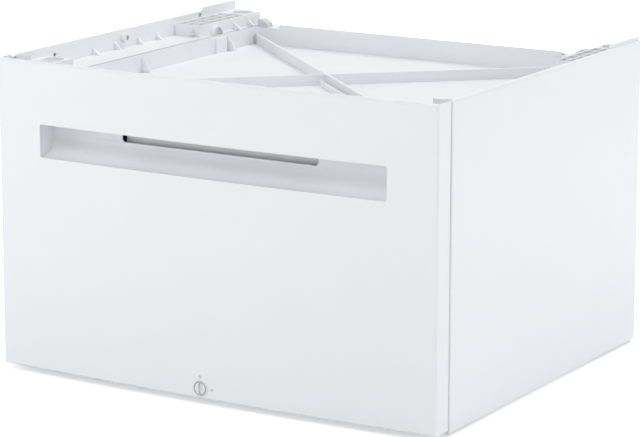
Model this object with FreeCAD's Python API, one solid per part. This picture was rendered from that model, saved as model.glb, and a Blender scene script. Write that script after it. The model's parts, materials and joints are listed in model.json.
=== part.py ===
"""Laundry pedestal with a pull-out drawer: millimetres, +Z up, front towards -Y,
origin under its middle."""
import FreeCAD, Part
import math
import os

os.makedirs("parts", exist_ok=True)
Vector = FreeCAD.Vector

# Overall sizes
cabinet_width = 598.0
panel_height = 380.0
panel_depth = 483.0
front_thickness = 28.0
front_gap = 4.0
front_bow = 8.0
foot_standout = 3.0

# Stock, clearances and cuts
sheet = 1.0
frame_sheet = 1.5
wall = 2.5
run_gap = 0.3
seat_gap = 0.2
fit_gap = 0.1
overrun = 5.0

# Side panels
panel_flange = 25.0
panel_fold = 2.5
panel_rim = 2.5

# Top tray
tray_front_inset = 6.0
tray_rear_inset = 34.0
tray_floor_drop = 45.0
tray_rear_drop = 18.0
tray_corner_width = 36.0
tray_flange = 24.0
tray_gap = 4.0
tray_floor_round = 4.0
rib_height = 13.0
rib_thickness = 3.0
side_rib_height = 7.0
side_rib_thickness = 2.0
side_rib_spacing = 10.0
tray_gusset_reach = 16.0
tray_gusset_shares = (0.4, 0.84)
tray_pad_shares = (0.775, 0.83)
tray_pad_thickness = 3.0
tray_pad_drop = 3.0

# Foot rails that carry the machine
rail_width = 48.1
shelf_drop = 23.0
rail_top_drop = 0.6
ledge_reach = 12.0
tab_length = 80.0
tab_height = 4.5
tab_corner = 3.0
block_setback = 5.3
rear_block_drop = 8.0
rear_block_length = 145.0
front_block_drop = 10.5
front_block_length = 57.0
block_round = 3.0
socket_side_inset = 29.0
socket_front_inset = 39.6
socket_rear_inset = 23.9
socket_radius = 13.0
socket_lift = 2.0
socket_rim_width = 2.2
socket_rim_height = 0.8
cell_wall = 2.0
cell_depth = 12.0
front_cell_depth = 6.0
cell_columns = 3
rear_cell_rows = 5
front_cell_rows = 1
wall_hole_radius = 2.8
wall_hole_shares = (0.156, 0.818)
wall_hole_drops = (12.0, 4.6)
rail_gusset_reach = 13.0
rail_gusset_height = 12.0
rail_gusset_shares = (0.318, 0.415, 0.517, 0.604)
boss_share = 0.455
boss_radius = 6.0
boss_hole_radius = 3.2
boss_length = 7.0
boss_drop = 10.0
hood_share = 0.764
hood_radius = 11.5
hood_reach = 5.0
ear_shares = (0.855, 0.925)
ear_reach = 11.0
ear_height = 11.0
rail_screw_inset = 12.0
rail_screw_lift = 5.5
clip_length = 14.0
clip_width = 15.0
clip_height = 10.0
clip_low_height = 5.0
clip_inset = 2.0

# Frame
post_width = 25.0
post_depth = 40.0
post_inset = 6.0
base_sheet = 2.0
base_lift = 19.0
base_height = 25.0
base_end_gap = 3.0
base_side_gap = 1.0
cross_depth = 30.0
front_cross_inset = 12.0
rear_cross_inset = 15.0
top_cross_depth = 24.0
top_cross_height = 18.0

# Rear panel
rear_panel_lift = 9.0
rear_panel_edge = 3.5
bead_width = 14.0
bead_count = 4
bead_margin = 45.0

# Drawer front and its handle
front_lift = 5.0
front_fold = 2.5
front_hem = 5.0
inner_panel_drop = 23.0
recess_inset = 62.5
recess_height = 40.0
recess_drop = 74.0
recess_depth = 27.0
recess_back_height = 18.0
recess_corner = 3.0
trough_wall = 2.0
slot_length = 269.0
slot_offset = -4.4
slot_height = 13.4
slot_drop = 3.0
scoop_depth_share = 0.72
scoop_rise_share = 0.39
plate_setback = 7.4
plate_wall = 1.6
plate_drop = 2.5
window_gap = 2.0

# Drawer box
drawer_lift = 62.0
drawer_headroom = 26.0
drawer_length = 450.0
drawer_hem = 8.0
drawer_lip = 12.0
drawer_flange = 15.0
back_drop = 20.0
floor_bead_width = 10.0
floor_bead_height = 1.2
floor_bead_count = 5
floor_bead_margin = 40.0
buffer_radius = 5.0
buffer_side_inset = 14.0
buffer_low = 60.0
buffer_high = 300.0
corner_stop_height = 18.0
corner_stop_thickness = 2.5
corner_stop_reach = 6.0

# Drawer runners
runner_sheet = 1.2
runner_height = 45.0
runner_thickness = 12.7
runner_lift = 117.0
outer_member_depth = 11.0
outer_member_length = 450.0
middle_member_length = 440.0
inner_member_length = 440.0
runner_start = 5.0
ball_diameter = 4.2
cage_sheet = 0.8
cage_length = 190.0
cage_start = 118.0
balls_per_row = 6
rivet_radius = 3.0
rivet_head_radius = 5.0
rivet_head_height = 1.5

# Coin lock
lock_offset = -9.0
lock_height = 12.5
lock_proud = 0.8
lock_bezel_radius = 10.2
lock_neck_radius = 9.4
lock_disc_radius = 8.2
lock_disc_depth = 2.5
lock_disc_flange = 1.0
lock_groove = 1.1
lock_body_radius = 8.0
lock_shaft_radius = 5.5
lock_tail = 5.0
lock_nut_width = 20.0
lock_nut_height = 3.0
coin_slot_length = 13.0
coin_slot_width = 3.6
coin_slot_depth = 2.0
cam_length = 30.0
cam_width = 12.0
cam_thickness = 2.0
cam_boss_radius = 4.0
cam_screw_radius = 2.0
cam_screw_head_radius = 5.5
cam_screw_head_height = 2.0
keeper_start = 16.0
keeper_width = 18.0
keeper_reach = 10.0
keeper_plate_height = 30.0
keeper_screw_share = 0.7

# Levelling feet
foot_nut_gap = 2.0
foot_inset = 53.0
pad_radius = 29.0
pad_height = 8.0
pad_chamfer = 2.0
pad_boss_radius = 12.0
pad_boss_height = 5.0
stem_radius = 5.0
stem_height = 58.0
stem_seat = 4.0
stem_hex_width = 15.0
stem_hex_height = 2.8
foot_nut_width = 17.0
lock_nut_thickness = 5.5
weld_nut_thickness = 8.0

# Screws
screw_radius = 2.0
screw_head_radius = 4.0
screw_head_height = 2.0
screw_length = 8.0
drawer_rivet_shares = (0.15, 0.85)
rear_screw_shares = (0.08, 0.36, 0.64, 0.92)
drawer_screw_shares = (0.2, 0.65, 0.9)
back_screw_shares = (0.55, 0.8)
nut_sides = 6
middle_share = 0.5

# Places worked out from the sizes
half_width = cabinet_width / 2
total_depth = lock_proud + front_bow + front_thickness + front_gap + panel_depth + screw_head_height
front_y = -total_depth / 2 + lock_proud + front_bow
front_back_y = front_y + front_thickness
cabinet_y = front_back_y + front_gap
rear_y = cabinet_y + panel_depth
panel_bottom = foot_standout
panel_top = panel_bottom + panel_height
panel_inner_x = half_width - sheet

rail_outer_x = half_width - panel_rim - seat_gap
rail_inner_x = rail_outer_x - rail_width
tray_outer_x = rail_inner_x - tray_gap
tray_inner_x = tray_outer_x - wall
tray_front_y = cabinet_y + tray_front_inset
tray_rear_y = rear_y - tray_rear_inset
tray_floor_z = panel_top - tray_floor_drop
tray_under_z = tray_floor_z - wall
tray_inner_front_y = tray_front_y + wall
tray_inner_length = tray_rear_y - tray_inner_front_y

rail_front_y = cabinet_y + panel_fold + seat_gap
rail_rear_y = rear_y - panel_fold - seat_gap
rail_wall_x = rail_outer_x - wall
block_inner_x = rail_inner_x + block_setback
shelf_z = panel_top - shelf_drop
rear_block_z = panel_top - rear_block_drop
front_block_z = panel_top - front_block_drop
ledge_z = tray_under_z - wall
socket_x = half_width - socket_side_inset
socket_ys = (cabinet_y + socket_front_inset, rear_y - socket_rear_inset)
socket_z = shelf_z + socket_lift
tray_side_z = shelf_z

base_outer_x = panel_inner_x - base_side_gap
base_z = panel_bottom + base_lift
post_outer_x = base_outer_x - base_sheet
post_inner_x = post_outer_x - post_width
foot_nut_reach = foot_nut_width / math.sqrt(3) + foot_nut_gap
foot_x = post_inner_x - foot_nut_reach
base_inner_x = foot_x - foot_nut_reach - base_sheet
foot_ys = (cabinet_y + foot_inset, rear_y - foot_inset)

front_bottom = panel_bottom + front_lift
front_top = panel_top
bow_radius = (half_width ** 2 + front_bow ** 2) / (2 * front_bow)
bow_centre_y = front_y - front_bow + bow_radius
recess_half = half_width - recess_inset
slot_xs = (slot_offset - slot_length / 2, slot_offset + slot_length / 2)
recess_top = panel_top - recess_drop
recess_bottom = recess_top - recess_height
inner_panel_y = front_back_y - sheet

drawer_outer_x = post_inner_x - runner_thickness
drawer_inner_x = drawer_outer_x - sheet
drawer_z = panel_bottom + drawer_lift
drawer_top = ledge_z - top_cross_height - drawer_headroom
drawer_rear_y = front_back_y + drawer_length
runner_z = panel_bottom + runner_lift
lock_z = front_bottom + lock_height


# Basic shapes
def box(x0, x1, y0, y1, z0, z1):
    return Part.makeBox(x1 - x0, y1 - y0, z1 - z0, Vector(x0, y0, z0))


def cylinder(start, radius, length, axis):
    return Part.makeCylinder(radius, length, Vector(*start), Vector(*axis))


def prism(points, direction):
    corners = [Vector(*point) for point in points]
    return Part.Face(Part.makePolygon(corners + corners[:1])).extrude(Vector(*direction))


def hexagon(start, flat_width, height, axis):
    """A nut blank: six sides about an axis through its start point."""
    radius = flat_width / math.sqrt(3)
    blank = []
    for step in range(nut_sides):
        angle = 2 * math.pi * step / nut_sides
        blank.append((radius * math.cos(angle), radius * math.sin(angle), 0))
    nut = prism(blank, (0, 0, height))
    nut.Placement = FreeCAD.Placement(Vector(*start), FreeCAD.Rotation(Vector(0, 0, 1), Vector(*axis)))
    return nut


def fuse(shapes):
    return shapes[0].multiFuse(shapes[1:]).removeSplitter()


def mirrored(shape):
    return shape.mirror(Vector(0, 0, 0), Vector(1, 0, 0))


def both_sides(shape):
    return [shape, mirrored(shape)]


def save(name, shape):
    shape.exportStep("parts/" + name + ".step")


def save_pair(name, right_shape):
    save("right_" + name, right_shape)
    save("left_" + name, mirrored(right_shape))


def along(share, start, end):
    return start + share * (end - start)


def screw(seat, axis, length):
    """A pan-head screw whose head stands on its seat and whose shank runs the other way."""
    direction = Vector(*axis)
    head = cylinder(seat, screw_head_radius, screw_head_height, axis)
    head = head.makeChamfer(screw_head_height / 3, [head.Edges[0]])
    shank = cylinder(seat, screw_radius, length, tuple(-direction))
    return fuse([head, shank])


def screw_hole(seat, axis, length):
    direction = Vector(*axis)
    start = Vector(*seat) + direction * overrun
    return Part.makeCylinder(screw_radius + fit_gap, length + 2 * overrun, start, direction * -1)


def channel(x0, x1, y0, y1, z0, z1, thickness, open_side):
    """A folded U section, open towards one of its six sides."""
    inner = {"x0": x0 + thickness, "x1": x1 - thickness, "y0": y0 + thickness,
             "y1": y1 - thickness, "z0": z0 + thickness, "z1": z1 - thickness}
    open_axis = open_side[0]
    for side in inner:
        reach = overrun if side[1] == "1" else -overrun
        if side == open_side:
            inner[side] = {"x0": x0, "x1": x1, "y0": y0, "y1": y1, "z0": z0, "z1": z1}[side] + reach
    lengths = {"x": x1 - x0, "y": y1 - y0, "z": z1 - z0}
    long_axis = max((axis for axis in lengths if axis != open_axis), key=lengths.get)
    inner[long_axis + "0"] = {"x": x0, "y": y0, "z": z0}[long_axis] - overrun
    inner[long_axis + "1"] = {"x": x1, "y": y1, "z": z1}[long_axis] + overrun
    return box(x0, x1, y0, y1, z0, z1).cut(box(**inner))


# Side panels
def rounded_pan(x0, x1, y0, y1, z0, z1, radius):
    """A block whose edges round its outer face, at x1, are rounded."""
    block = box(x0, x1, y0, y1, z0, z1)
    edges = [edge for edge in block.Edges if edge.BoundBox.XMin > x1 - seat_gap]
    return block.makeFillet(radius, edges)


def side_panel():
    inner_edge = half_width - panel_flange
    shell = rounded_pan(inner_edge, half_width, cabinet_y, rear_y, panel_bottom, panel_top, panel_fold)
    hollow = rounded_pan(inner_edge - overrun, panel_inner_x, cabinet_y + sheet, rear_y - sheet,
                         panel_bottom + sheet, panel_top - sheet, panel_fold - sheet)
    shell = shell.cut(hollow)
    rim_x = half_width - panel_rim
    for low, high in ((panel_bottom, panel_bottom + sheet), (panel_top - sheet, panel_top)):
        shell = shell.cut(box(inner_edge - overrun, rim_x, cabinet_y + sheet, rear_y - sheet,
                              low - seat_gap, high + seat_gap))
    shell = shell.cut(box(inner_edge - overrun, rim_x, rear_y - panel_fold, rear_y + seat_gap, rear_block_z,
                          panel_top + seat_gap))
    for z in rear_screw_heights():
        shell = shell.cut(screw_hole((rear_screw_x(), rear_y, z), (0, 1, 0), screw_length))
    return shell


# Rear panel and its screws
def rear_screw_x():
    return half_width - panel_flange / 2


def rear_panel_top():
    return shelf_z - wall


def rear_screw_heights():
    low = panel_bottom + rear_panel_lift
    return [along(share, low, rear_panel_top()) for share in rear_screw_shares]


def rear_panel():
    half = half_width - rear_panel_edge
    low = panel_bottom + rear_panel_lift
    outer_y = rear_y - sheet
    pieces = [box(-half, half, outer_y - sheet, outer_y, low, rear_panel_top())]
    bead_half = half_width - panel_flange - bead_width
    for index in range(bead_count):
        z = along(index / (bead_count - 1), low + bead_margin, rear_panel_top() - bead_margin)
        bead = box(-bead_half, bead_half, outer_y, rear_y, z - bead_width / 2, z + bead_width / 2)
        edges = [edge for edge in bead.Edges if edge.BoundBox.YMin > outer_y + seat_gap]
        pieces.append(bead.makeChamfer(sheet - seat_gap, edges))
    panel = fuse(pieces)
    for z in rear_screw_heights():
        for side in (-1, 1):
            panel = panel.cut(screw_hole((side * rear_screw_x(), rear_y, z), (0, 1, 0), screw_length))
    return panel


def rear_panel_screws():
    screws = []
    for z in rear_screw_heights():
        for side in (-1, 1):
            screws.append(screw((side * rear_screw_x(), rear_y, z), (0, 1, 0), screw_length))
    return Part.makeCompound(screws)


# Top tray
def diagonal_rib(slope_sign, thickness, height, offset):
    """A rib across the tray from corner to corner, moved sideways by an offset."""
    middle_y = tray_inner_front_y + tray_inner_length / 2
    length = math.hypot(2 * tray_inner_x, tray_inner_length)
    angle = math.degrees(math.atan2(slope_sign * tray_inner_length, 2 * tray_inner_x))
    rib = box(-length, length, offset - thickness / 2, offset + thickness / 2,
              tray_floor_z - wall / 2, tray_floor_z + height)
    rib.rotate(Vector(0, 0, 0), Vector(0, 0, 1), angle)
    rib.translate(Vector(0, middle_y, 0))
    return rib


def side_gusset(x_wall, y, z, reach, height, thickness):
    """A triangle that braces a wall on the right, pointing inwards."""
    return prism([(x_wall, y, z), (x_wall - reach, y, z), (x_wall, y, z + height)], (0, thickness, 0))


def top_tray():
    hollow_top = tray_side_z + overrun
    outer = box(-tray_outer_x, tray_outer_x, tray_front_y, tray_rear_y + wall, tray_under_z, tray_side_z)
    hollow = box(-tray_inner_x, tray_inner_x, tray_inner_front_y, tray_rear_y, tray_floor_z, hollow_top)
    rounded = [edge for edge in hollow.Edges if edge.BoundBox.ZLength > tray_floor_drop / 2]
    hollow = hollow.makeFillet(tray_floor_round, rounded)
    tray = outer.cut(hollow)
    corner_x = tray_inner_x - tray_corner_width
    rear_top = panel_top - tray_rear_drop
    lintel = box(-corner_x, corner_x, tray_rear_y, tray_rear_y + wall, tray_under_z, rear_top)
    ribs = [diagonal_rib(-1, rib_thickness, rib_height, 0), diagonal_rib(1, rib_thickness, rib_height, 0)]
    inside = box(-tray_inner_x, tray_inner_x, tray_inner_front_y, tray_rear_y, tray_under_z, hollow_top)
    front_half = box(0, tray_inner_x, tray_inner_front_y, tray_rear_y, tray_under_z, hollow_top)
    second = diagonal_rib(-1, side_rib_thickness, side_rib_height, -side_rib_spacing)
    pieces = [tray, lintel, ribs[0].common(inside), ribs[1].common(inside), second.common(front_half)]
    for share in tray_gusset_shares:
        y = along(share, tray_inner_front_y, tray_rear_y)
        gusset = side_gusset(tray_inner_x + wall / 2, y, tray_floor_z - wall / 2, tray_gusset_reach,
                             tray_side_z - tray_floor_z + wall / 2, wall)
        pieces += both_sides(gusset)
    pad_ys = [along(share, tray_inner_front_y, tray_rear_y) for share in tray_pad_shares]
    pad = box(tray_inner_x - tray_pad_thickness, tray_inner_x + wall / 2, pad_ys[0], pad_ys[1],
              tray_floor_z - wall / 2, tray_side_z - tray_pad_drop)
    pieces += both_sides(pad)
    flange = box(corner_x, tray_outer_x, tray_rear_y + wall / 2, tray_rear_y + wall + tray_flange,
                 tray_side_z - wall, tray_side_z)
    pieces += both_sides(flange)
    return fuse(pieces)


# Foot rails
def block_cells(front_y_edge, rear_y_edge, rows, top, depth):
    """Open cells that lighten a foot block between two of its cross walls."""
    pitch_x = (rail_wall_x - block_inner_x - cell_wall) / cell_columns
    pitch_y = (rear_y_edge - front_y_edge - cell_wall) / rows
    cells = []
    for column in range(cell_columns):
        x0 = block_inner_x + cell_wall + column * pitch_x
        for row in range(rows):
            y0 = front_y_edge + cell_wall + row * pitch_y
            cells.append(box(x0, x0 + pitch_x - cell_wall, y0, y0 + pitch_y - cell_wall, top - depth,
                             top + overrun))
    return cells


def foot_block(y0, y1, top):
    block = box(block_inner_x, rail_outer_x, y0, y1, shelf_z - wall / 2, top)
    uprights = [edge for edge in block.Edges if edge.BoundBox.ZLength > wall]
    edges = [edge for edge in uprights if edge.BoundBox.XMax < rail_wall_x]
    return block.makeFillet(block_round, edges)


def rail_screw_seat():
    """Where a screw stands on the front face of the right rear block."""
    return (block_inner_x + rail_screw_inset, rail_rear_y - rear_block_length, shelf_z + rail_screw_lift)


def hood(y):
    """A half-round mouth on the inner face of a rear block, above the tray's wall."""
    z = tray_side_z + seat_gap
    start = (block_inner_x - hood_reach, y, z)
    shell = cylinder(start, hood_radius, hood_reach + wall, (1, 0, 0))
    shell = shell.cut(cylinder(start, hood_radius - wall, hood_reach, (1, 0, 0)))
    return shell.common(box(block_inner_x - hood_reach, block_inner_x + wall, y - hood_radius,
                            y + hood_radius, z, rear_block_z))


def rail_tab():
    """The raised end of the rail's outer wall, with a cut front corner."""
    front_y_end = rail_rear_y - tab_length
    top = panel_top + tab_height
    outline = [(front_y_end, shelf_z), (rail_rear_y, shelf_z), (rail_rear_y, top),
               (front_y_end + tab_corner, top), (front_y_end, top - tab_corner)]
    return prism([(rail_wall_x, y, z) for y, z in outline], (wall, 0, 0))


def foot_rail():
    skirt_x = rail_inner_x + wall
    front_block_end = rail_front_y + front_block_length
    rear_block_start = rail_rear_y - rear_block_length
    block_tops = (front_block_z, rear_block_z)
    pieces = [box(rail_inner_x, rail_outer_x, rail_front_y, rail_rear_y, shelf_z - wall, shelf_z),
              box(rail_wall_x, rail_outer_x, rail_front_y, rail_rear_y, shelf_z - wall,
                  panel_top - rail_top_drop),
              box(rail_inner_x, skirt_x, rail_front_y, rail_rear_y, ledge_z, shelf_z),
              box(rail_inner_x - ledge_reach, skirt_x, rail_front_y, rail_rear_y, ledge_z, tray_under_z),
              rail_tab(),
              foot_block(rail_front_y, front_block_end, front_block_z),
              foot_block(rear_block_start, rail_rear_y, rear_block_z)]
    for y, top in zip(socket_ys, block_tops):
        pieces.append(cylinder((socket_x, y, shelf_z), socket_radius + socket_rim_width,
                               top + socket_rim_height - shelf_z, (0, 0, 1)))
    for share in rail_gusset_shares:
        y = along(share, cabinet_y, rear_y)
        pieces.append(side_gusset(rail_wall_x + wall / 2, y, shelf_z - wall / 2, rail_gusset_reach,
                                  rail_gusset_height, wall))
    boss_start = (rail_wall_x + wall / 2, along(boss_share, cabinet_y, rear_y), panel_top - boss_drop)
    pieces.append(cylinder(boss_start, boss_radius, boss_length + wall / 2, (-1, 0, 0)))
    pieces.append(hood(along(hood_share, cabinet_y, rear_y)))
    for share in ear_shares:
        y = along(share, cabinet_y, rear_y)
        pieces.append(side_gusset(block_inner_x + wall, y, tray_side_z + seat_gap, ear_reach + wall,
                                  ear_height, wall))
    rail = fuse(pieces)
    socket_depth = panel_top - socket_z
    cuts = [cylinder((socket_x, y, socket_z), socket_radius, socket_depth, (0, 0, 1)) for y in socket_ys]
    reach = socket_radius + socket_rim_width
    cuts += block_cells(rear_block_start, socket_ys[1] - reach, rear_cell_rows, rear_block_z, cell_depth)
    cuts += block_cells(rail_front_y, socket_ys[0] - reach, front_cell_rows, front_block_z,
                        front_cell_depth)
    for share, drop in zip(wall_hole_shares, wall_hole_drops):
        hole_start = (rail_wall_x - overrun, along(share, cabinet_y, rear_y), panel_top - drop)
        cuts.append(cylinder(hole_start, wall_hole_radius, wall + 2 * overrun, (1, 0, 0)))
    boss_mouth = (rail_wall_x - boss_length - overrun, boss_start[1], boss_start[2])
    cuts.append(cylinder(boss_mouth, boss_hole_radius, boss_length + overrun, (1, 0, 0)))
    cuts.append(screw_hole(rail_screw_seat(), (0, -1, 0), cell_wall))
    return rail.cut(Part.makeCompound(cuts))


def rail_screws():
    return Part.makeCompound(both_sides(screw(rail_screw_seat(), (0, -1, 0), cell_wall)))


def rear_clips():
    """Wedge-shaped clips that stand on the low corners of the tray's rear wall."""
    x1 = tray_inner_x - clip_inset
    x0 = x1 - clip_width
    z0 = tray_side_z
    wedge = prism([(x0, tray_rear_y, z0), (x1, tray_rear_y, z0), (x1, tray_rear_y, z0 + clip_height),
                   (along(middle_share, x0, x1), tray_rear_y, z0 + clip_height),
                   (x0, tray_rear_y, z0 + clip_low_height)], (0, clip_length, 0))
    return Part.makeCompound(both_sides(wedge))


# Frame
def post(y0):
    return channel(post_inner_x, post_outer_x, y0, y0 + post_depth, base_z + base_sheet, shelf_z - wall,
                   frame_sheet, "x1")


def post_ys():
    return {"front": cabinet_y + post_inset, "rear": rear_y - post_inset - post_depth - screw_length}


def base_rail():
    rear_end = rear_y - base_end_gap - screw_length
    rail = channel(base_inner_x, base_outer_x, cabinet_y + base_end_gap, rear_end, base_z,
                   base_z + base_height, base_sheet, "z1")
    for y in foot_ys:
        rail = rail.cut(cylinder((foot_x, y, base_z - overrun), stem_radius + fit_gap,
                                 base_sheet + 2 * overrun, (0, 0, 1)))
    return rail


def front_cross_y():
    return cabinet_y + front_cross_inset


def front_cross_rail():
    y0 = front_cross_y()
    rail = channel(-base_inner_x, base_inner_x, y0, y0 + cross_depth, base_z, base_z + base_height,
                   base_sheet, "y1")
    for seat in keeper_screw_seats():
        rail = rail.cut(screw_hole(seat, (0, -1, 0), screw_length))
    return rail


def rear_cross_rail():
    y1 = rear_y - rear_cross_inset
    return channel(-base_inner_x, base_inner_x, y1 - cross_depth, y1, base_z, base_z + base_height,
                   base_sheet, "y0")


def top_cross_rail(y0, open_side):
    low = ledge_z - top_cross_height
    return channel(-post_inner_x, post_inner_x, y0, y0 + top_cross_depth, low, ledge_z, frame_sheet,
                   open_side)


# Drawer front
def bow_y(x, inset):
    """How far forward the bowed face, or a face set back from it, lies at x."""
    return bow_centre_y - math.sqrt((bow_radius - inset) ** 2 - x ** 2)


def front_plan(half, inset, back_y, z):
    """The drawer front's outline from above, its face set back by an inset."""
    corner_y = bow_y(half, inset)
    left = Vector(-half, corner_y, z)
    right = Vector(half, corner_y, z)
    back_right = Vector(half, back_y, z)
    back_left = Vector(-half, back_y, z)
    bow = Part.Arc(left, Vector(0, bow_y(0, inset), z), right).toShape()
    edges = [bow, Part.makeLine(right, back_right), Part.makeLine(back_right, back_left),
             Part.makeLine(back_left, left)]
    return Part.Face(Part.Wire(edges))


def bowed_block(inset, back_y, fold):
    """The drawer front as a block, set back on every side but the rear by an inset."""
    half = half_width - inset
    plan = front_plan(half, inset, back_y, front_bottom + inset)
    block = plan.extrude(Vector(0, 0, front_top - front_bottom - 2 * inset))
    front_edges = [edge for edge in block.Edges if edge.BoundBox.YMax < bow_y(half, inset) + seat_gap]
    return block.makeFillet(fold, front_edges)


def recess_window():
    """The handle's opening, through the front sheet."""
    half = recess_half
    window = box(-half, half, front_y - front_bow - overrun, front_y + overrun, recess_bottom, recess_top)
    edges = [edge for edge in window.Edges if edge.BoundBox.YLength > front_bow]
    return window.makeFillet(recess_corner, edges)


def lock_point(depth):
    """A point on the lock's axis, at a depth behind the face of the front."""
    return (lock_offset, bow_y(lock_offset, 0) + depth, lock_z)


def lock_back_depth():
    return front_back_y - bow_y(lock_offset, 0)


def drawer_front_panel():
    shell = bowed_block(0, front_back_y, front_fold)
    panel = shell.cut(bowed_block(sheet, front_back_y + overrun, front_fold - sheet))
    panel = panel.cut(recess_window())
    mouth = front_plan(half_width - sheet, front_hem, front_back_y + overrun, front_top - front_fold)
    panel = panel.cut(mouth.extrude(Vector(0, 0, front_fold + overrun)))
    return panel.cut(cylinder(lock_point(-overrun), lock_neck_radius + fit_gap, 2 * overrun, (0, 1, 0)))


def drawer_inner_panel():
    half = half_width - sheet
    top = front_top - inner_panel_drop
    lid = front_plan(half_width - front_fold, sheet, front_back_y, top - sheet).extrude(Vector(0, 0, sheet))
    panel = fuse([box(-half, half, inner_panel_y, front_back_y, front_bottom + sheet, top), lid])
    window_half = recess_half + trough_wall + window_gap
    margin = trough_wall + window_gap
    panel = panel.cut(box(-window_half, window_half, inner_panel_y - overrun, front_back_y + overrun,
                          recess_bottom - margin, recess_top + margin))
    lock_bore = lock_body_radius + fit_gap
    panel = panel.cut(cylinder(lock_point(0), lock_bore, lock_back_depth() + overrun, (0, 1, 0)))
    for seat in drawer_front_seats():
        panel = panel.cut(screw_hole(seat, (0, 1, 0), screw_length))
    return panel


# Handle trough and the plate behind its slot
def scoop(half_length, margin, mouth_y):
    """The scoop's section, carried along the handle: an arc from the lower lip up to the back."""
    low = recess_bottom - margin
    high = recess_top + margin
    back_y = front_y + recess_depth + margin
    lip = Vector(-half_length, front_y, low)
    arc_end = Vector(-half_length, back_y, recess_top - recess_back_height)
    middle = Vector(-half_length, along(scoop_depth_share, front_y, back_y),
                    along(scoop_rise_share, low, arc_end.z))
    mouth_low = Vector(-half_length, mouth_y, low)
    mouth_high = Vector(-half_length, mouth_y, high)
    top = Vector(-half_length, back_y, high)
    curve = Part.Arc(lip, middle, arc_end).toShape()
    edges = [Part.makeLine(mouth_low, lip), curve, Part.makeLine(arc_end, top),
             Part.makeLine(top, mouth_high), Part.makeLine(mouth_high, mouth_low)]
    return Part.Face(Part.Wire(edges)).extrude(Vector(2 * half_length, 0, 0))


def handle_trough():
    half = recess_half
    mouth_y = front_y - front_bow - overrun
    body = scoop(half + trough_wall, trough_wall, mouth_y)
    body = body.cut(scoop(half, 0, mouth_y - overrun))
    body = body.common(bowed_block(sheet + seat_gap, front_back_y + recess_depth, front_fold - sheet))
    slot_top = recess_top - slot_drop
    slot = box(*slot_xs, front_y + recess_depth / 2, front_y + 2 * recess_depth, slot_top - slot_height,
               slot_top)
    edges = [edge for edge in slot.Edges if edge.BoundBox.YLength > recess_depth / 2]
    return body.cut(slot.makeFillet(slot_height / 3, edges))


def grip_plate():
    """A hooked plate that hangs behind the slot from the top of the trough."""
    trough_back_y = front_y + recess_depth + trough_wall
    low = recess_top - slot_drop - slot_height - plate_drop
    high = recess_top + trough_wall + plate_wall
    face_y = trough_back_y + plate_setback
    return fuse([box(*slot_xs, face_y, face_y + plate_wall, low, high),
                 box(*slot_xs, trough_back_y - trough_wall, face_y + plate_wall, high - plate_wall, high)])


# Drawer box
def drawer_front_seats():
    x = drawer_inner_x - drawer_flange / 2
    y = front_back_y + sheet
    heights = [along(share, drawer_z, drawer_top) for share in drawer_screw_shares]
    return [(side * x, y, z) for side in (-1, 1) for z in heights]


def drawer_back_seats(side):
    y = drawer_rear_y - sheet - drawer_flange / 2
    top = drawer_top - back_drop
    return [(side * drawer_outer_x, y, along(share, drawer_z, top)) for share in back_screw_shares]


def drawer_side():
    pieces = [box(drawer_inner_x, drawer_outer_x, front_back_y, drawer_rear_y, drawer_z - sheet,
                  drawer_top),
              box(drawer_inner_x - drawer_lip, drawer_outer_x, front_back_y, drawer_rear_y,
                  drawer_z - sheet, drawer_z),
              box(drawer_inner_x - drawer_hem, drawer_outer_x, front_back_y, drawer_rear_y,
                  drawer_top - sheet, drawer_top),
              box(drawer_inner_x - drawer_flange, drawer_outer_x, front_back_y, front_back_y + sheet,
                  drawer_z + sheet, drawer_top)]
    side = fuse(pieces)
    for seat in drawer_front_seats():
        side = side.cut(screw_hole(seat, (0, 1, 0), screw_length))
    for seat in drawer_back_seats(1):
        side = side.cut(screw_hole(seat, (1, 0, 0), screw_length))
    for y in inner_rivet_ys():
        side = side.cut(cylinder((drawer_inner_x - overrun, y, runner_z), rivet_radius + fit_gap,
                                 sheet + 2 * overrun, (1, 0, 0)))
    return side


def drawer_floor():
    pieces = [box(-drawer_inner_x, drawer_inner_x, front_back_y + sheet, drawer_rear_y, drawer_z,
                  drawer_z + sheet)]
    for index in range(floor_bead_count):
        share = (index + middle_share) / floor_bead_count
        x = along(share, -drawer_inner_x + floor_bead_margin, drawer_inner_x - floor_bead_margin)
        z = drawer_z + sheet
        bead = box(x - floor_bead_width / 2, x + floor_bead_width / 2, front_back_y + floor_bead_margin,
                   drawer_rear_y - floor_bead_margin, z, z + floor_bead_height)
        edges = [edge for edge in bead.Edges if edge.BoundBox.ZMin > z + seat_gap]
        pieces.append(bead.makeChamfer(floor_bead_height - seat_gap, edges))
    return fuse(pieces)


def drawer_back():
    low = drawer_z + sheet
    high = drawer_top - back_drop
    front = drawer_rear_y - drawer_flange - sheet
    flange = box(drawer_inner_x - sheet, drawer_inner_x, front, drawer_rear_y, low, high)
    plate = box(-drawer_inner_x, drawer_inner_x, drawer_rear_y - sheet, drawer_rear_y, low, high)
    back = fuse([plate] + both_sides(flange))
    for side in (-1, 1):
        for seat in drawer_back_seats(side):
            back = back.cut(screw_hole(seat, (side, 0, 0), screw_length))
    return back


def drawer_screws():
    screws = [screw(seat, (0, 1, 0), screw_length) for seat in drawer_front_seats()]
    for side in (-1, 1):
        screws += [screw(seat, (side, 0, 0), screw_length) for seat in drawer_back_seats(side)]
    return Part.makeCompound(screws)


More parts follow.
